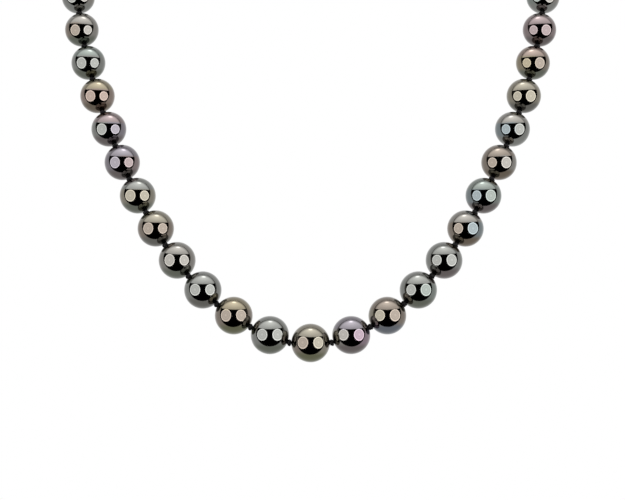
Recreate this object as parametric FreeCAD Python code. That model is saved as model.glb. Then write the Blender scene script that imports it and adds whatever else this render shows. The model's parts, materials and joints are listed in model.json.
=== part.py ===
import FreeCAD, Part
import math
import os

# A graduated strand of dark pearls, hand-knotted on one silk cord, lying flat and almost closed.
# Millimetres. The origin is the middle of the bounding box at floor height, +Z is up, the largest
# pearl lies in the front (-Y) and the undone ball clasp at the back (+Y).

# --- driving dimensions ---
SIDE_COUNT = 21             # pearls on each side of the largest one
CENTRE_DIAMETER = 10.0      # the largest pearl
END_DIAMETER = 8.5          # the pearls beside the clasp
KNOT_GAP = 0.95             # clear space between two pearls, filled by one knot
DRILL_DIAMETER = 0.9        # hole through each pearl
CORD_DIAMETER = 0.64        # silk cord inside the pearls
KNOT_DIAMETER = 1.65        # across the knot
KNOT_LENGTH = 0.74          # along the cord

# The bend at each knot in degrees: a tight bow in the front, nearly straight sides, a wide round back
FIRST_TURN = 23.0           # on each side of the largest pearl
BOW_TURN = 13.0             # just after it, fading with the knot number
BOW_KNOTS = 4.1             # how many knots the bow lasts
BACK_TURN = 0.041           # times the square of the knot number
LAST_HEADING = 180.0        # direction of both clasp ends, straight at each other

LOOP_RADIUS = 1.5           # centre line of a French wire loop
LOOP_TUBE = 1.0             # outside diameter of the French wire
LOOP_BORE = 0.62            # its hollow inside, where the cord runs
LOOP_CORD = 0.5             # the cord inside the loop
LOOP_OPEN = 40.0            # degrees left open on each side of the end knot
LOOP_REACH = 1.85           # end knot to the middle of the loop

RING_RADIUS = 1.5           # centre line of a clasp ring
RING_WIRE = 0.7             # thickness of the ring's wire
RING_PLAY = 0.1             # clearance between a ring and its French wire loop
RING_FOOT = 0.45            # radius of the soldered foot
RING_STAND = 0.15           # from the ring's outside to the body it is soldered to

BALL_RADIUS = 4.25          # clasp ball, as large as the last pearls
BALL_WALL = 0.55
MOUTH_FACE = 3.65           # ball centre to the flat mouth
MOUTH_PLATE = 0.45          # thickness of the plate in the mouth
SLOT_WIDTH = 3.1            # where the tongue goes in
SLOT_LOW = -0.95
SLOT_HIGH = 0.35
NOTCH_WIDTH = 1.9           # where the thumb tab stands out
NOTCH_DEPTH = 1.3           # how far the notch runs back from the mouth

LEAF_WIDTH = 2.7            # tongue strip
LEAF_LENGTH = 5.9
LEAF_THICKNESS = 0.32
LEAF_BOTTOM = -0.78         # underside of the base leaf from the tongue's middle
SPRING_LENGTH = 4.9
SPRING_ANGLE = 7.0          # how far the upper leaf springs open
SPRING_PLAY = 0.03
TAB_WIDTH = 1.5
TAB_THICKNESS = 0.5
TAB_TOP = 2.75
TONGUE_PITCH = 19.2         # the tongue's tip rests on the floor


def turn_at(knot):
    """The bend in degrees at a knot, counted outwards from the largest pearl."""
    if knot == 0:
        return FIRST_TURN
    return BOW_TURN * math.exp(-((knot / BOW_KNOTS) ** 2)) + BACK_TURN * knot**2


def pearl_radius(place):
    """Radius of a pearl, counted outwards from the largest one."""
    return (CENTRE_DIAMETER - (CENTRE_DIAMETER - END_DIAMETER) * place / SIDE_COUNT) / 2


def direction(heading, pitch=0.0):
    """Unit vector at a heading from +X towards +Y, and a pitch above the floor."""
    flat = math.cos(math.radians(pitch))
    return FreeCAD.Vector(
        flat * math.cos(math.radians(heading)),
        flat * math.sin(math.radians(heading)),
        math.sin(math.radians(pitch)),
    )


def side_knots():
    """Knot centres along the right side, from the largest pearl to the clasp."""
    knots = [FreeCAD.Vector(pearl_radius(0) + KNOT_GAP / 2, 0, pearl_radius(0))]
    heading = 0.0
    for place in range(1, SIDE_COUNT + 1):
        heading += turn_at(place - 1)
        chord = 2 * pearl_radius(place) + KNOT_GAP
        knot = knots[-1] + direction(heading) * chord
        outer = min(place + 1, SIDE_COUNT)
        knot.z = (pearl_radius(place) + pearl_radius(outer)) / 2
        knots.append(knot)
    return knots


def mirrored(point):
    return FreeCAD.Vector(-point.x, point.y, point.z)


def frame_at(origin, along):
    """Placement whose local X runs along a direction while its Y stays level."""
    level = FreeCAD.Vector(0, 0, 1).cross(along)
    upward = along.cross(level)
    turn = FreeCAD.Rotation(along, level, upward, "XZY")
    return FreeCAD.Placement(origin, turn)


def placed(shape, placement):
    result = shape.copy()
    result.Placement = placement.multiply(result.Placement)
    return result


def drilled_pearl(radius):
    """A ball with its hole along X."""
    hole = DRILL_DIAMETER / 2
    half = math.sqrt(radius**2 - hole**2)
    arc = Part.Arc(
        FreeCAD.Vector(-half, 0, hole),
        FreeCAD.Vector(0, 0, radius),
        FreeCAD.Vector(half, 0, hole),
    ).toShape()
    wall = Part.makeLine(FreeCAD.Vector(half, 0, hole), FreeCAD.Vector(-half, 0, hole))
    profile = Part.Face(Part.Wire([arc, wall]))
    return profile.revolve(FreeCAD.Vector(0, 0, 0), FreeCAD.Vector(1, 0, 0), 360)


def cord_run(start, end):
    along = end - start
    return Part.makeCylinder(CORD_DIAMETER / 2, along.Length, start, along)


def knot_at(point, along):
    """A knot: a ball pressed flat between its two pearls."""
    reach = math.degrees(math.asin(KNOT_LENGTH / KNOT_DIAMETER))
    return Part.makeSphere(KNOT_DIAMETER / 2, point, along, -reach, reach, 360)


def torus(radius, wire, place):
    """A ring lying in the local XY plane."""
    return placed(Part.makeTorus(radius, wire / 2), place)


def upright(place):
    """The same frame with its local XY plane turned upright."""
    quarter = FreeCAD.Placement(
        FreeCAD.Vector(0, 0, 0), FreeCAD.Rotation(FreeCAD.Vector(1, 0, 0), 90)
    )
    return place.multiply(quarter)


def silk_cord(knots, loops):
    """One cord from end to end: runs through the pearls, the knots, and the two end loops."""
    bodies = []
    for start, end in zip(knots, knots[1:]):
        bodies.append(cord_run(start, end))
    for index, knot in enumerate(knots):
        before = knots[max(index - 1, 0)]
        after = knots[min(index + 1, len(knots) - 1)]
        bodies.append(knot_at(knot, (after - before).normalize()))
    for loop in loops:
        bodies.append(torus(LOOP_RADIUS, LOOP_CORD, loop))
    return bodies[0].multiFuse(bodies[1:])


def french_wire(loop):
    """A hollow coiled-wire sleeve bent round, open towards the end knot."""
    start = FreeCAD.Vector(-LOOP_RADIUS, 0, 0)
    ring = []
    for diameter in (LOOP_TUBE, LOOP_BORE):
        circle = Part.makeCircle(diameter / 2, start, FreeCAD.Vector(0, 1, 0))
        ring.append(Part.Wire([circle]))
    section = Part.Face([ring[0], ring[1]])
    axis = FreeCAD.Vector(0, 0, 1)
    section.rotate(FreeCAD.Vector(0, 0, 0), axis, LOOP_OPEN)
    sleeve = section.revolve(FreeCAD.Vector(0, 0, 0), axis, 360 - 2 * LOOP_OPEN)
    return placed(sleeve, loop)


def ring_with_foot(towards):
    """A ring standing upright at the local origin, its foot reaching out along local X."""
    ring = torus(RING_RADIUS, RING_WIRE, upright(FreeCAD.Placement()))
    foot = Part.makeCylinder(
        RING_FOOT, towards, FreeCAD.Vector(RING_RADIUS, 0, 0), FreeCAD.Vector(1, 0, 0)
    )
    return ring.fuse(foot)


def slot_cut(front, depth):
    """The tongue's slot and the thumb tab's notch, running back from a face at local X."""
    slot = Part.makeBox(
        depth, SLOT_WIDTH, SLOT_HIGH - SLOT_LOW,
        FreeCAD.Vector(front - depth, -SLOT_WIDTH / 2, SLOT_LOW),
    )
    notch = Part.makeBox(
        depth, NOTCH_WIDTH, BALL_RADIUS,
        FreeCAD.Vector(front - depth, -NOTCH_WIDTH / 2, SLOT_HIGH - 0.1),
    )
    return slot.fuse(notch)


def clasp_ball():
    """Hollow ball around the local origin, cut flat at its mouth on the +X side."""
    shell = Part.makeSphere(BALL_RADIUS).cut(Part.makeSphere(BALL_RADIUS - BALL_WALL))
    beyond = Part.makeBox(
        10, 20, 20, FreeCAD.Vector(MOUTH_FACE - MOUTH_PLATE, -10, -10)
    )
    shell = shell.cut(beyond)
    return shell.cut(slot_cut(MOUTH_FACE, NOTCH_DEPTH))


def mouth_plate():
    """The rest of the ball up to its flat mouth, solid but for the slot."""
    slab = Part.makeBox(
        MOUTH_PLATE, 20, 20, FreeCAD.Vector(MOUTH_FACE - MOUTH_PLATE, -10, -10)
    )
    plate = slab.common(Part.makeSphere(BALL_RADIUS))
    return plate.cut(slot_cut(MOUTH_FACE + 1, 1 + 2 * MOUTH_PLATE))


def clasp_parts(loop, pitch):
    """Frames of a clasp ring hung in a French wire loop, and of the clasp half behind it."""
    along = loop.Rotation.multVec(FreeCAD.Vector(1, 0, 0))
    heading = math.degrees(math.atan2(along.y, along.x))
    tube = loop.Base + along * LOOP_RADIUS
    out = direction(heading, pitch)
    hang = LOOP_TUBE / 2 + RING_WIRE / 2 + RING_PLAY
    ring = tube + out * (RING_RADIUS - hang)
    return frame_at(ring, out), ring + out * (RING_RADIUS + RING_WIRE / 2 + RING_STAND)


def ball_half(loop):
    """The female half: ring, ball and mouth plate."""
    ring_frame, surface = clasp_parts(loop, 0.0)
    out = ring_frame.Rotation.multVec(FreeCAD.Vector(1, 0, 0))
    ball_frame = frame_at(surface + out * BALL_RADIUS, out)
    whole = placed(Part.makeSphere(BALL_RADIUS), ball_frame)
    ring = placed(ring_with_foot(1.0), ring_frame).cut(whole)
    return {
        "clasp_ball_ring": ring,
        "clasp_ball": placed(clasp_ball(), ball_frame),
        "clasp_mouth_plate": placed(mouth_plate(), ball_frame),
    }


def tongue_cap():
    """The missing slice of the ball, its flat face at local X = 0."""
    ball = Part.makeSphere(BALL_RADIUS, FreeCAD.Vector(MOUTH_FACE, 0, 0))
    before = Part.makeBox(20, 20, 20, FreeCAD.Vector(0, -10, -10))
    return ball.cut(before)


def tongue_base():
    """The lower leaf, with the round fold at its tip."""
    leaf = Part.makeBox(
        LEAF_LENGTH, LEAF_WIDTH, LEAF_THICKNESS,
        FreeCAD.Vector(0, -LEAF_WIDTH / 2, LEAF_BOTTOM),
    )
    fold = Part.makeCylinder(
        LEAF_THICKNESS + SPRING_PLAY / 2, LEAF_WIDTH,
        FreeCAD.Vector(LEAF_LENGTH, -LEAF_WIDTH / 2, fold_height()),
        FreeCAD.Vector(0, 1, 0),
    )
    ahead = Part.makeBox(
        5, 10, 10, FreeCAD.Vector(LEAF_LENGTH, -5, -5)
    )
    return leaf.fuse(fold.common(ahead))


def fold_height():
    return LEAF_BOTTOM + LEAF_THICKNESS + SPRING_PLAY / 2


def tongue_spring():
    """The upper leaf, sprung open about the fold, with its thumb tab."""
    tip = LEAF_LENGTH - SPRING_PLAY
    low = fold_height() + SPRING_PLAY / 2
    leaf = Part.makeBox(
        SPRING_LENGTH, LEAF_WIDTH, LEAF_THICKNESS,
        FreeCAD.Vector(tip - SPRING_LENGTH, -LEAF_WIDTH / 2, low),
    )
    tab = Part.makeBox(
        TAB_THICKNESS, TAB_WIDTH, TAB_TOP - low,
        FreeCAD.Vector(tip - SPRING_LENGTH, -TAB_WIDTH / 2, low),
    )
    spring = leaf.fuse(tab).removeSplitter()
    hinge = FreeCAD.Vector(LEAF_LENGTH, 0, fold_height())
    spring.rotate(hinge, FreeCAD.Vector(0, 1, 0), SPRING_ANGLE)
    return spring


def tongue_half(loop):
    """The male half: ring, cap and folded tongue."""
    ring_frame, surface = clasp_parts(loop, -TONGUE_PITCH)
    out = ring_frame.Rotation.multVec(FreeCAD.Vector(1, 0, 0))
    cap_height = BALL_RADIUS - MOUTH_FACE
    tongue_frame = frame_at(surface + out * cap_height, out)
    cap_ball = placed(
        Part.makeSphere(BALL_RADIUS, FreeCAD.Vector(MOUTH_FACE, 0, 0)), tongue_frame
    )
    return {
        "tongue_ring": placed(ring_with_foot(1.0), ring_frame).cut(cap_ball),
        "tongue_cap": placed(tongue_cap(), tongue_frame),
        "tongue_base": placed(tongue_base(), tongue_frame),
        "tongue_spring": placed(tongue_spring(), tongue_frame),
    }


def strand():
    """Every piece of the necklace by name."""
    right = side_knots()
    knots = [mirrored(knot) for knot in reversed(right)] + right
    pieces = {}
    for index in range(len(knots) - 1):
        start, end = knots[index], knots[index + 1]
        place = abs(index - SIDE_COUNT)
        frame = frame_at((start + end) / 2, (end - start).normalize())
        pieces["pearl_%02d" % (index + 1)] = placed(
            drilled_pearl(pearl_radius(place)), frame
        )
    loops = {}
    for side, knot, heading in (
        ("left", knots[0], 180 - LAST_HEADING),
        ("right", knots[-1], LAST_HEADING),
    ):
        along = direction(heading)
        loops[side] = frame_at(knot + along * LOOP_REACH, along)
        pieces["french_wire_" + side] = french_wire(loops[side])
    pieces["silk_cord"] = silk_cord(knots, loops.values())
    pieces.update(ball_half(loops["left"]))
    pieces.update(tongue_half(loops["right"]))
    return pieces


def centre(pieces):
    """Moves every piece so that the bounding box's bottom middle is the origin."""
    box = FreeCAD.BoundBox()
    for shape in pieces.values():
        box.add(shape.optimalBoundingBox(False))
    shift = FreeCAD.Vector(-box.Center.x, -box.Center.y, 0)
    for shape in pieces.values():
        shape.translate(shift)


os.makedirs("parts", exist_ok=True)
pieces = strand()
centre(pieces)
for name, shape in pieces.items():
    shape.exportStep("parts/" + name + ".step")
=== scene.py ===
import json
import math

import bpy
from mathutils import Matrix, Vector, noise

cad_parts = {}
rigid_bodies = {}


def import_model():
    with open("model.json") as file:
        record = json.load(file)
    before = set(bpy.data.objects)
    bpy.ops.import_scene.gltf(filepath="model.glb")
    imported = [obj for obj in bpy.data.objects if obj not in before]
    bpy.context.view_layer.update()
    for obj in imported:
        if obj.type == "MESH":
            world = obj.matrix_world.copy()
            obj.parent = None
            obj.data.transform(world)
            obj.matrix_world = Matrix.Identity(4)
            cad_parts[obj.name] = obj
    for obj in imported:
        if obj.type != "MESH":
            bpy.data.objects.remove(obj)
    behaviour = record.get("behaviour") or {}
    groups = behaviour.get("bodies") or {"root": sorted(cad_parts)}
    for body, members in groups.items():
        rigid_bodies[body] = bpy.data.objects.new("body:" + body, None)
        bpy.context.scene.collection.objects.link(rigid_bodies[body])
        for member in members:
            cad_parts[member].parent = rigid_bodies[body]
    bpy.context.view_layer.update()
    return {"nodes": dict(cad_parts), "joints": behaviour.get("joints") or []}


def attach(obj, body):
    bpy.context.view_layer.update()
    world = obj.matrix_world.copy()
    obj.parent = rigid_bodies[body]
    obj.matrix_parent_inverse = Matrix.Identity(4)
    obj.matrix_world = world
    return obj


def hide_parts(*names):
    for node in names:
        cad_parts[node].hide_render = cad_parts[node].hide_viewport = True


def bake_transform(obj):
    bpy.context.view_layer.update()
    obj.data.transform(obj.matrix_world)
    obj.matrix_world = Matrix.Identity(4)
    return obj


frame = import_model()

# --- sizes, in metres ---
MM = 0.001
KNOT_GAP = 0.95 * MM        # clear space between two pearls
HOLE_RADIUS = 0.45 * MM
HOLE_EDGE = 0.10 * MM       # rounding of the drill hole's rim
THREAD_RADIUS = 0.30 * MM
KNOT_RADIUS = 0.95 * MM     # across the cord
KNOT_HALF = 0.50 * MM       # along the cord
KNOT_STRAND = 0.30 * MM     # radius of the strand the knot is tied from
LOOP_RADIUS = 1.5 * MM      # centre line of a French wire loop
LOOP_REACH = 1.85 * MM      # end knot to the middle of the loop
LOOP_OPEN = 40.0            # degrees left open beside the knot
LOOP_THREAD = 0.25 * MM     # radius of the cord inside the French wire
LOOP_GAP = 4.0              # degrees the cord's own loop is left open
COIL_RADIUS = 0.40 * MM     # centre line of the fine wire round the cord
COIL_WIRE = 0.095 * MM
COIL_PITCH = 0.20 * MM

# --- mesh fineness ---
PEARL_ROUND = 64
PEARL_RINGS = 44
OUT_OF_ROUND = 0.006        # share of the radius
BROAD_WAVES = 1.1           # how quickly a pearl's shape wanders over its surface
FINE_WAVES = 4.5
FINE_SHARE = 0.18           # of the broad waves' height
SUNK = 0.4                  # how far in the waves sit, as a share of their height
SKIN_FROM = 0.995           # share of the radius beyond which a point is on the skin
KNOT_POINTS = 60
KNOT_SPIN = 1.9             # radians each knot is turned on from the last
THREAD_STEPS = 12
LOOP_STEPS = 40
COIL_STEPS = 12             # per turn of the French wire

# --- camera, from where the photograph shows the strand's front half ---
LOOK_AT = Vector((0.0005, -0.0548, 0.0))
CAMERA_ELEVATION = 71.3
CAMERA_DISTANCE = 0.450
CAMERA_LENS = 97.6

# --- lamps, in metres and degrees ---
LIT_MIDDLE = Vector((0.0, -0.045, 0.005))
LAMP_TURN = 48.0            # from the camera's direction to each lamp
LAMP_DISTANCE = 0.41
LAMP_WIDTH = 0.52
LAMP_HEIGHT = 0.505
LAMP_PROFILE = ((0.0, 0.68), (0.18, 0.60), (0.34, 0.50), (0.47, 0.62), (0.62, 0.50), (0.83, 0.56),
                (0.88, 1.0), (1.0, 1.0))
PANEL_DISTANCE = 0.55
PANEL_LIFT = 0.65           # panel centre above the floor, as a share of its distance
PANEL_WIDTH = 3.70          # these two likewise
PANEL_HEIGHT = 4.60
PANEL_GLOW_HEIGHT = 0.44    # of the panel's brightest spot, as a share of its height
PANEL_FADE = (0.36, 0.45)   # heights, likewise, between which the panel's lower part dies away
FADED = 0.3                 # what is left of the light below that
GLOW_DIRECTION = Vector((0, 0.944, 0.330))
GLOW_DISTANCE = 0.45
GLOW_SIZE = (0.20, 0.13)
LAMP_STRENGTHS = {"left_lamp": (-1, 4.7), "right_lamp": (1, 5.6)}
PANEL_STRENGTH = 3.6
GLOW_STRENGTH = 4.5
GLOW_PROFILE = ((0.0, 1.0), (0.4, 0.8), (1.0, 0.0))
PANEL_PROFILE = ((0.0, 1.0), (0.12, 0.95), (0.30, 0.76), (0.60, 0.60), (1.0, 0.50))
FLOOR_HALF = 2.0
FLOOR_DROP = 0.05 * MM      # below the pearls
FLOOR_GLOW = 0.98

# --- nacre: heights and widths as shares of the radius ---
DRIFT_SCALE = 260.0
DRIFT_REACH = 0.16
# These bands place each pearl's painted reflection tints: the two side tones where the left and
# right lamps reflect, the lighter top tone where the panel reflects, and the darker rim tone on the
# lower part as painted shade.
LAMP_TINT_SPLIT = (-0.15, 0.15)   # across, where the left side's tone gives way to the right side's
RIM_SHADE_BAND = (-0.62, -0.30)   # upwards, where the rim's tone gives way to the sides'
TOP_HIGHLIGHT_BAND = (0.28, 0.38)     # upwards, where the sides' tones give way to the top's
POLISH = (0.045, 0.10)      # smoothest and roughest patches
GROWTH_SCALE = 2400.0

# --- metals: tint, darker tint, smoothest and roughest ---
METALS = {
    "white_gold": ((0.66, 0.65, 0.62), (0.52, 0.51, 0.49), 0.06, 0.16),
    "white_gold_satin": ((0.58, 0.57, 0.55), (0.44, 0.43, 0.42), 0.22, 0.34),
    "french_wire": ((0.62, 0.61, 0.60), (0.42, 0.41, 0.41), 0.18, 0.32),
}

# Nacre colours as mirror tints: how much of each colour the dark pearl throws back, placed below as
# painted reflection colours
TONES = {
    "olive": (0.099, 0.101, 0.062),
    "sage": (0.098, 0.105, 0.086),
    "silver": (0.165, 0.168, 0.158),
    "mint": (0.153, 0.170, 0.157),
    "cream": (0.184, 0.170, 0.138),
    "gold": (0.188, 0.164, 0.118),
    "bronze": (0.110, 0.090, 0.068),
    "tan": (0.166, 0.142, 0.120),
    "salmon": (0.188, 0.150, 0.130),
    "rose": (0.176, 0.144, 0.144),
    "pink": (0.192, 0.148, 0.174),
    "mauve": (0.105, 0.092, 0.090),
    "lilac": (0.164, 0.152, 0.168),
    "aubergine": (0.094, 0.074, 0.090),
    "blue": (0.100, 0.110, 0.126),
    "cyan": (0.144, 0.166, 0.172),
    "grey": (0.101, 0.099, 0.089),
    "pale": (0.180, 0.172, 0.158),
}

# Each pearl, left to right along the strand: the tone of its rim, of its top, and of its two sides;
# these are painted reflection colours, the left side's tinting the left lamp's reflection, the
# right side's the right lamp's, the top's the panel's, and the darker rim tone the lower part as
# painted shade
PEARLS = {
    1: ("silver", "mint", "silver", "pale"),
    2: ("mauve", "rose", "lilac", "tan"),
    3: ("grey", "silver", "pale", "mint"),
    4: ("blue", "pale", "lilac", "silver"),
    5: ("sage", "cream", "mint", "silver"),
    6: ("bronze", "gold", "salmon", "tan"),
    7: ("aubergine", "lilac", "pink", "blue"),
    8: ("silver", "cream", "pale", "mint"),
    9: ("sage", "silver", "pale", "rose"),
    10: ("silver", "silver", "silver", "pale"),
    11: ("sage", "pale", "tan", "pale"),
    12: ("sage", "mint", "silver", "silver"),
    13: ("bronze", "gold", "salmon", "salmon"),
    14: ("mauve", "rose", "silver", "lilac"),
    15: ("mauve", "lilac", "lilac", "rose"),
    16: ("sage", "silver", "cream", "cream"),
    17: ("grey", "cream", "tan", "tan"),
    18: ("sage", "pale", "pale", "pale"),
    19: ("grey", "silver", "silver", "silver"),
    20: ("olive", "gold", "tan", "tan"),
    21: ("sage", "silver", "silver", "silver"),
    22: ("olive", "cream", "tan", "cream"),
    23: ("mauve", "lilac", "pale", "pink"),
    24: ("blue", "tan", "cream", "tan"),
    25: ("sage", "silver", "silver", "mint"),
    26: ("mauve", "silver", "silver", "silver"),
    27: ("bronze", "pale", "tan", "cyan"),
    28: ("mauve", "mint", "cyan", "mint"),
    29: ("bronze", "tan", "tan", "pale"),
    30: ("silver", "pale", "cyan", "silver"),
    31: ("grey", "cream", "cream", "cream"),
    32: ("sage", "salmon", "gold", "tan"),
    33: ("mauve", "rose", "rose", "rose"),
    34: ("silver", "silver", "mint", "pale"),
    35: ("bronze", "cream", "tan", "pale"),
    36: ("silver", "mint", "pale", "silver"),
    37: ("mauve", "rose", "lilac", "rose"),
    38: ("sage", "silver", "cyan", "mint"),
    39: ("tan", "gold", "cream", "salmon"),
    40: ("blue", "pale", "lilac", "cyan"),
    41: ("sage", "mint", "cream", "silver"),
    42: ("grey", "silver", "pale", "pale"),
    43: ("lilac", "pale", "rose", "mint"),
}
LAST = len(PEARLS)

scene = bpy.context.scene
view_direction = Vector((
    0.0,
    -math.cos(math.radians(CAMERA_ELEVATION)),
    math.sin(math.radians(CAMERA_ELEVATION)),
))
picture_up = view_direction.cross(Vector((1, 0, 0)))
knots = {j["name"]: Vector(j["pos_m"]) for j in frame["joints"] if j["name"].startswith("knot_")}
knot_bodies = {
    j["name"]: (j["parent"], j["child"]) for j in frame["joints"] if j["name"].startswith("knot_")
}


# --- meshes ---

def new_object(name, vertices, faces, location=(0, 0, 0), smooth=True):
    mesh = bpy.data.meshes.new(name)
    mesh.from_pydata([tuple(v) for v in vertices], [], faces)
    mesh.polygons.foreach_set("use_smooth", [smooth] * len(faces))
    mesh.update()
    obj = bpy.data.objects.new(name, mesh)
    obj.location = location
    scene.collection.objects.link(obj)
    return obj


def axes_along(direction):
    """Three unit vectors, the first along a direction and the second level."""
    along = direction.normalized()
    level = Vector((0, 0, 1)).cross(along).normalized()
    return along, level, along.cross(level)


def ring_faces(rings, around, closed):
    """Quads between rings of vertices; closed joins the last ring to the first."""
    faces = []
    for i in range(rings if closed else rings - 1):
        here, ahead = i * around, ((i + 1) % rings) * around
        for k in range(around):
            n = (k + 1) % around
            faces.append((here + k, here + n, ahead + n, ahead + k))
    return faces


def pearl_profile(radius):
    """(distance along the bore, distance from it) from one hole over the pearl to the other."""
    start = math.asin((HOLE_RADIUS + HOLE_EDGE) / radius)
    inner = math.sqrt(radius**2 - HOLE_RADIUS**2) - HOLE_EDGE
    rim = [(-inner, HOLE_RADIUS), (-inner - 0.75 * HOLE_EDGE, HOLE_RADIUS + 0.3 * HOLE_EDGE)]
    outside = []
    for i in range(PEARL_RINGS + 1):
        angle = start + (math.pi - 2 * start) * i / PEARL_RINGS
        outside.append((-radius * math.cos(angle), radius * math.sin(angle)))
    far_rim = [(-x, y) for x, y in reversed(rim)]
    bore = [(inner * s, HOLE_RADIUS) for s in (0.5, 0.0, -0.5)]
    return rim + outside + far_rim + bore


def out_of_round(point, seed):
    """A pearl's radius here, as a share of a true ball's."""
    unit = point.normalized()
    broad = noise.noise(unit * BROAD_WAVES + Vector((seed * 7.3, 1.7, 4.1)))
    fine = noise.noise(unit * FINE_WAVES + Vector((2.9, seed * 3.1, 8.8)))
    return 1 + OUT_OF_ROUND * (broad + FINE_SHARE * fine) - SUNK * OUT_OF_ROUND


def make_pearl(number, left, right):
    along, level, upward = axes_along(right - left)
    radius = ((right - left).length - KNOT_GAP) / 2
    profile = pearl_profile(radius)
    vertices = []
    for x, y in profile:
        for k in range(PEARL_ROUND):
            turn = 2 * math.pi * k / PEARL_ROUND
            point = along * x + (level * math.cos(turn) + upward * math.sin(turn)) * y
            if math.hypot(x, y) > SKIN_FROM * radius:
                point = point * out_of_round(point, number)
            vertices.append(point)
    faces = ring_faces(len(profile), PEARL_ROUND, closed=True)
    return new_object("nacre_%02d" % number, vertices, faces, (left + right) / 2)


def tube(points, radius, around, closed=False):
    """Vertices and faces of a round tube through points, carried along without kinks."""
    count = len(points)
    side = None
    vertices = []
    for i, point in enumerate(points):
        ahead = points[(i + 1) % count] if closed or i < count - 1 else point
        behind = points[i - 1] if closed or i > 0 else point
        along = (ahead - behind).normalized()
        if side is None:
            side = along.orthogonal()
        side = (side - along * side.dot(along)).normalized()
        other = along.cross(side)
        for k in range(around):
            turn = 2 * math.pi * k / around
            vertices.append(point + (side * math.cos(turn) + other * math.sin(turn)) * radius)
    faces = ring_faces(count, around, closed)
    if not closed:
        faces.append(tuple(reversed(range(around))))
        faces.append(tuple(range((count - 1) * around, count * around)))
    return vertices, faces


def joined(parts):
    """One list of vertices and faces from several."""
    vertices, faces = [], []
    for part_vertices, part_faces in parts:
        offset = len(vertices)
        vertices += part_vertices
        faces += [tuple(i + offset for i in face) for face in part_faces]
    return vertices, faces


def knot_parts(point, direction, seed):
    """An overhand knot pulled tight round the cord, between two pearls."""
    along, level, upward = axes_along(direction)
    reach = (KNOT_RADIUS - KNOT_STRAND) / 3
    lift = KNOT_HALF - KNOT_STRAND
    path = []
    c, s = math.cos(seed * KNOT_SPIN), math.sin(seed * KNOT_SPIN)
    for i in range(KNOT_POINTS):
        t = 2 * math.pi * i / KNOT_POINTS
        a = (math.sin(t) + 2 * math.sin(2 * t)) * reach
        b = (math.cos(t) - 2 * math.cos(2 * t)) * reach
        flat = level * (a * c - b * s) + upward * (a * s + b * c)
        path.append(point + flat - along * math.sin(3 * t) * lift)
    core = [point - along * KNOT_HALF, point, point + along * KNOT_HALF]
    return [tube(path, KNOT_STRAND, 10, closed=True), tube(core, 1.5 * THREAD_RADIUS, 12)]


def make_thread(number, left, right):
    """The cord inside one pearl."""
    middle = (left + right) / 2
    path = [left.lerp(right, i / THREAD_STEPS) - middle for i in range(THREAD_STEPS + 1)]
    vertices, faces = tube(path, THREAD_RADIUS, 12)
    return new_object("silk_%02d" % number, vertices, faces, middle)


def loop_path(outward, open_angle, steps, reach=0.0, turns=0.0):
    """Points round a level loop about the origin, or on a fine coil wound along it."""
    side = Vector((0, 0, 1)).cross(outward)
    points = []
    for i in range(steps + 1):
        angle = math.radians(180 + open_angle + (360 - 2 * open_angle) * i / steps)
        radial = outward * math.cos(angle) + side * math.sin(angle)
        wind = 2 * math.pi * turns * i / steps
        offset = radial * math.cos(wind) + Vector((0, 0, 1)) * math.sin(wind)
        points.append(radial * LOOP_RADIUS + offset * reach)
    return points


def make_end_loop(side, knot, outward):
    """The cord's end loop and the French wire coiled over it."""
    centre = knot + outward * LOOP_REACH
    cord = tube(loop_path(outward, LOOP_GAP, LOOP_STEPS), LOOP_THREAD, 10)
    length = LOOP_RADIUS * math.radians(360 - 2 * LOOP_OPEN)
    turns = round(length / COIL_PITCH)
    path = loop_path(outward, LOOP_OPEN, turns * COIL_STEPS, COIL_RADIUS, turns)
    coil = tube(path, COIL_WIRE, 6)
    return (
        new_object("silk_loop_" + side, *cord, centre),
        new_object("french_coil_" + side, *coil, centre),
    )


# --- materials ---

def node(tree, kind, **settings):
    made = tree.nodes.new(kind)
    for key, value in settings.items():
        setattr(made, key, value)
    return made


def new_material(name):
    material = bpy.data.materials.new(name)
    material.use_nodes = True
    tree = material.node_tree
    return material, tree, tree.nodes["Principled BSDF"]


def smooth_step(tree, value, low, high):
    """A soft switch from 0 at low to 1 at high."""
    step = node(tree, "ShaderNodeMapRange", interpolation_type="SMOOTHSTEP")
    step.inputs["From Min"].default_value = low
    step.inputs["From Max"].default_value = high
    tree.links.new(value, step.inputs["Value"])
    return step.outputs["Result"]


def vector_math(tree, operation, *terms, result="Vector"):
    """A vector operation; each term is a constant or a socket."""
    made = node(tree, "ShaderNodeVectorMath", operation=operation)
    for socket, term in zip(made.inputs, terms):
        if isinstance(term, tuple):
            socket.default_value = term
        else:
            tree.links.new(term, socket)
    return made.outputs[result]


def dot_with(tree, vector, direction):
    return vector_math(tree, "DOT_PRODUCT", vector, direction, result="Value")


def stretched(tree, value, low, high):
    """A value from 0 to 1 brought to the range from low to high."""
    made = node(tree, "ShaderNodeMapRange")
    made.inputs["To Min"].default_value = low
    made.inputs["To Max"].default_value = high
    tree.links.new(value, made.inputs["Value"])
    return made.outputs["Result"]


def add_bump(tree, shader, height, strength, distance):
    bump = node(tree, "ShaderNodeBump")
    bump.inputs["Strength"].default_value = strength
    bump.inputs["Distance"].default_value = distance
    tree.links.new(height, bump.inputs["Height"])
    tree.links.new(bump.outputs["Normal"], shader.inputs["Normal"])


def mixed(tree, factor, low, high):
    """A colour mix; low and high are colours or sockets."""
    mix = node(tree, "ShaderNodeMix", data_type="RGBA")
    tree.links.new(factor, mix.inputs["Factor"])
    for socket, value in ((mix.inputs["A"], low), (mix.inputs["B"], high)):
        if isinstance(value, tuple):
            socket.default_value = (*value, 1)
        else:
            tree.links.new(value, socket)
    return mix.outputs["Result"]


def noise_of(tree, vector, scale, detail):
    texture = node(tree, "ShaderNodeTexNoise")
    texture.inputs["Scale"].default_value = scale
    texture.inputs["Detail"].default_value = detail
    tree.links.new(vector, texture.inputs["Vector"])
    return texture


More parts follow.
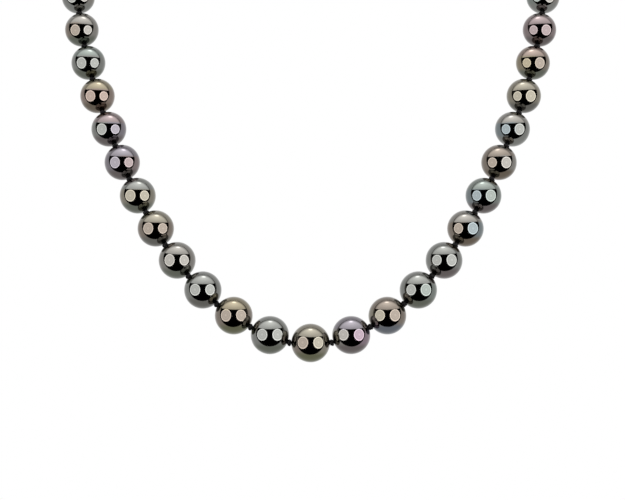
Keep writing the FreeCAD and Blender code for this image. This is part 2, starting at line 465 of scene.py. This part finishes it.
def wandering(tree, place, drift):
    """The direction from the pearl's middle, nudged so that the tones meet on uneven lines."""
    unit = vector_math(tree, "NORMALIZE", place)
    nudged = vector_math(tree, "MULTIPLY_ADD", drift, (DRIFT_REACH,) * 3, unit)
    return vector_math(tree, "SUBTRACT", nudged, (DRIFT_REACH / 2,) * 3)


def nacre(number):
    """Dark mirror-like nacre with painted reflection colour: its tints sit where the left lamp, the
    right lamp and the top panel reflect, darker on the lower part as painted shade, and drift from
    one side of the pearl to the other.
    """
    rim, top, left, right = (TONES[tone] for tone in PEARLS[number])
    material, tree, shader = new_material("nacre_%02d" % number)
    place = node(tree, "ShaderNodeTexCoord").outputs["Object"]
    offset = (number * 0.013, number * 0.007, number * 0.011)
    shifted = vector_math(tree, "ADD", place, offset)
    drift = noise_of(tree, shifted, DRIFT_SCALE, 3.0)
    spot = wandering(tree, place, drift.outputs["Color"])
    across = dot_with(tree, spot, (1, 0, 0))
    height = dot_with(tree, spot, tuple(picture_up))
    # Painted reflection colour: side tints where the two lamps reflect, the top tint where the
    # panel reflects, the darker rim tint on the lower part as painted shade.
    sides = mixed(tree, smooth_step(tree, across, *LAMP_TINT_SPLIT), left, right)
    lower = mixed(tree, smooth_step(tree, height, *RIM_SHADE_BAND), rim, sides)
    painted_reflection_tint = mixed(tree, smooth_step(tree, height, *TOP_HIGHLIGHT_BAND), lower, top)
    tree.links.new(painted_reflection_tint, shader.inputs["Base Color"])
    polish = stretched(tree, drift.outputs["Fac"], *POLISH)
    tree.links.new(polish, shader.inputs["Roughness"])
    growth = noise_of(tree, shifted, GROWTH_SCALE, 4.0)
    add_bump(tree, shader, growth.outputs["Fac"], 0.012, 0.05 * MM)
    shader.inputs["Metallic"].default_value = 1.0
    return material


def silk():
    """Black twisted silk with a faint sheen."""
    material, tree, shader = new_material("silk")
    place = node(tree, "ShaderNodeTexCoord").outputs["Object"]
    strands = node(tree, "ShaderNodeTexWave", bands_direction="DIAGONAL")
    strands.inputs["Scale"].default_value = 1500.0
    strands.inputs["Distortion"].default_value = 2.0
    tree.links.new(place, strands.inputs["Vector"])
    colour = mixed(tree, strands.outputs["Fac"], (0.002, 0.002, 0.002), (0.008, 0.007, 0.008))
    tree.links.new(colour, shader.inputs["Base Color"])
    add_bump(tree, shader, strands.outputs["Fac"], 0.5, 0.05 * MM)
    shader.inputs["Roughness"].default_value = 0.75
    shader.inputs["Specular IOR Level"].default_value = 0.15
    shader.inputs["Sheen Weight"].default_value = 0.03
    return material


def metal(name):
    """Polished metal with faint scratches and cloudy wear."""
    tint, dark, low, high = METALS[name]
    material, tree, shader = new_material(name)
    place = node(tree, "ShaderNodeTexCoord").outputs["Object"]
    cloud = noise_of(tree, place, 500.0, 4.0)
    tree.links.new(mixed(tree, cloud.outputs["Fac"], dark, tint), shader.inputs["Base Color"])
    stretch = node(tree, "ShaderNodeMapping")
    stretch.inputs["Scale"].default_value = (1.0, 12.0, 12.0)
    tree.links.new(place, stretch.inputs["Vector"])
    scratches = noise_of(tree, stretch.outputs["Vector"], 900.0, 3.0).outputs["Fac"]
    tree.links.new(stretched(tree, scratches, low, high), shader.inputs["Roughness"])
    add_bump(tree, shader, scratches, 0.04, 0.02 * MM)
    shader.inputs["Metallic"].default_value = 1.0
    return material


# --- stage ---

def pale_floor():
    """A plain white floor that glows, so that shadows stay faint.

    The camera sees the world's white in its place, so a strand bent below it stays in view.
    """
    corners = [(x * FLOOR_HALF, y * FLOOR_HALF, 0) for x, y in ((-1, -1), (1, -1), (1, 1), (-1, 1))]
    floor = new_object("floor", corners, [(0, 1, 2, 3)], (0, 0, -FLOOR_DROP), smooth=False)
    material, _, shader = new_material("floor")
    shader.inputs["Base Color"].default_value = (0.05, 0.05, 0.05, 1)
    shader.inputs["Roughness"].default_value = 1.0
    shader.inputs["Specular IOR Level"].default_value = 0.0
    shader.inputs["Emission Color"].default_value = (1, 1, 1, 1)
    shader.inputs["Emission Strength"].default_value = FLOOR_GLOW
    floor.data.materials.append(material)
    floor.visible_camera = False


def glow_ramp(tree, place, profile, glow_height):
    """The glow from a light's brightest spot outwards, as (distance, glow) pairs."""
    centred = vector_math(tree, "SUBTRACT", place, (0.5, glow_height, 0))
    flat = vector_math(tree, "MULTIPLY", centred, (2, 2, 0))
    radius = vector_math(tree, "LENGTH", flat, result="Value")
    ramp = node(tree, "ShaderNodeValToRGB")
    stops = ramp.color_ramp.elements
    for stop, (position, glow) in ((stops[0], profile[0]), (stops[1], profile[-1])):
        stop.position = position
        stop.color = (glow, glow, glow, 1)
    for position, glow in profile[1:-1]:
        stops.new(position).color = (glow, glow, glow, 1)
    tree.links.new(radius, ramp.inputs["Fac"])
    return ramp.outputs["Color"]


def area_light(name, centre, facing, up, size, strength, profile, glow_height=0.5, fade=None):
    """An elliptical soft light, its front turned away from facing and its height along up.

    The profile gives the glow from the glow's middle outwards. Fade is the stretch of the
    light's height over which the glow dies away downwards.
    """
    data = bpy.data.lights.new(name, "AREA")
    data.shape = "ELLIPSE"
    data.size, data.size_y = size
    data.energy = 1.0
    data.use_nodes = True
    tree = data.node_tree
    emission = tree.nodes["Emission"]
    place = node(tree, "ShaderNodeNewGeometry").outputs["Parametric"]
    tree.links.new(glow_ramp(tree, place, profile, glow_height), emission.inputs["Color"])
    power = strength * math.pi * (math.pi * size[0] * size[1] / 4)
    emission.inputs["Strength"].default_value = power
    if fade:
        step = smooth_step(tree, dot_with(tree, place, (0, 1, 0)), *fade)
        tree.links.new(stretched(tree, step, FADED * power, power), emission.inputs["Strength"])
    light = bpy.data.objects.new(name, data)
    light.location = centre
    side = up.cross(facing).normalized()
    light.rotation_euler = Matrix((side, facing.cross(side), facing)).transposed().to_euler()
    light.visible_camera = False
    scene.collection.objects.link(light)


def white_backdrop():
    """White wherever the camera sees past the necklace; the pearls mirror none of it."""
    scene.world = bpy.data.worlds.new("studio")
    scene.world.use_nodes = True
    tree = scene.world.node_tree
    back = tree.nodes["Background"]
    back.inputs["Color"].default_value = (1, 1, 1, 1)
    seen = node(tree, "ShaderNodeLightPath").outputs["Is Camera Ray"]
    tree.links.new(seen, back.inputs["Strength"])
    scene.view_settings.view_transform = "Standard"


def studio():
    """Two round lamps beside the camera, a tall pale panel behind the strand, darkness in front."""
    turn = math.radians(LAMP_TURN)
    upright = Vector((0, 0, 1))
    for name, (side, strength) in LAMP_STRENGTHS.items():
        facing = view_direction * math.cos(turn) + Vector((side * math.sin(turn), 0, 0))
        area_light(name, LIT_MIDDLE + facing * LAMP_DISTANCE, facing, picture_up,
                   (LAMP_WIDTH, LAMP_HEIGHT), strength, LAMP_PROFILE)
    panel = LIT_MIDDLE + PANEL_DISTANCE * Vector((0, 1, PANEL_LIFT))
    panel_size = (PANEL_WIDTH * PANEL_DISTANCE, PANEL_HEIGHT * PANEL_DISTANCE)
    area_light("back_panel", panel, Vector((0, 1, 0)), upright, panel_size,
               PANEL_STRENGTH, PANEL_PROFILE, PANEL_GLOW_HEIGHT, PANEL_FADE)
    area_light("glow", LIT_MIDDLE + GLOW_DIRECTION * GLOW_DISTANCE, GLOW_DIRECTION, upright,
               GLOW_SIZE, GLOW_STRENGTH, GLOW_PROFILE)
    white_backdrop()


def camera():
    data = bpy.data.cameras.new("camera")
    data.lens = CAMERA_LENS
    data.sensor_width = 36
    data.clip_start = 0.01
    obj = bpy.data.objects.new("camera", data)
    obj.location = LOOK_AT + view_direction * CAMERA_DISTANCE
    obj.rotation_euler = view_direction.to_track_quat("Z", "Y").to_euler()
    scene.collection.objects.link(obj)
    scene.camera = obj


# --- the necklace ---

def dress(obj, material, body, slot, *nodes):
    obj.data.materials.append(material)
    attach(obj, body)
    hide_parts(*nodes)


def ends_of(number):
    """Where the knots on a pearl's left and right are."""
    left = "knot_%02d_%02d" % (number - 1, number) if number > 1 else "knot_01_wire"
    right = "knot_%02d_%02d" % (number, number + 1) if number < LAST else "knot_43_wire"
    return knots[left], knots[right]


def string_pearls(silk_material):
    for number in PEARLS:
        left, right = ends_of(number)
        body = "pearl_%02d" % number
        dress(make_pearl(number, left, right), nacre(number), body, body, body)
        dress(make_thread(number, left, right), silk_material, body, "silk", "silk_cord")


def body_middle(body):
    """The middle of a pearl, or of the small end piece beyond a knot."""
    ends = [knots[name] for name, pair in knot_bodies.items() if body in pair]
    return sum(ends, Vector()) / len(ends)


def tie_knots(silk_material):
    """A knot at each joint, turned along the line between the middles of the two bodies it joins;
    the knots stay where they are tied and are attached to no body.
    """
    for seed, (name, (parent, child)) in enumerate(knot_bodies.items()):
        along = (body_middle(child) - body_middle(parent)).normalized()
        vertices, faces = joined(knot_parts(knots[name], along, seed))
        knot = new_object("silk_" + name, vertices, faces)
        knot.data.materials.append(silk_material)
        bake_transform(knot)
        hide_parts("silk_cord")


def finish_ends(silk_material, wire_material):
    for side, knot, outward in (
        ("left", knots["knot_01_wire"], Vector((1, 0, 0))),
        ("right", knots["knot_43_wire"], Vector((-1, 0, 0))),
    ):
        cord, coil = make_end_loop(side, knot, outward)
        dress(cord, silk_material, "wire_" + side, "silk", "silk_cord")
        dress(coil, wire_material, "wire_" + side, "french_wire", "french_wire_" + side)


def polish_clasp():
    """The clasp is shown as the CAD's own parts, with the tongue's two leaves brushed."""
    gold = metal("white_gold")
    brushed = metal("white_gold_satin")
    for name in frame["nodes"]:
        if name.startswith(("clasp_", "tongue_")):
            obj = frame["nodes"][name]
            obj.data.materials.clear()
            obj.data.materials.append(brushed if name in ("tongue_base", "tongue_spring") else gold)


silk_material = silk()
string_pearls(silk_material)
tie_knots(silk_material)
finish_ends(silk_material, metal("french_wire"))
polish_clasp()
pale_floor()
studio()
camera()
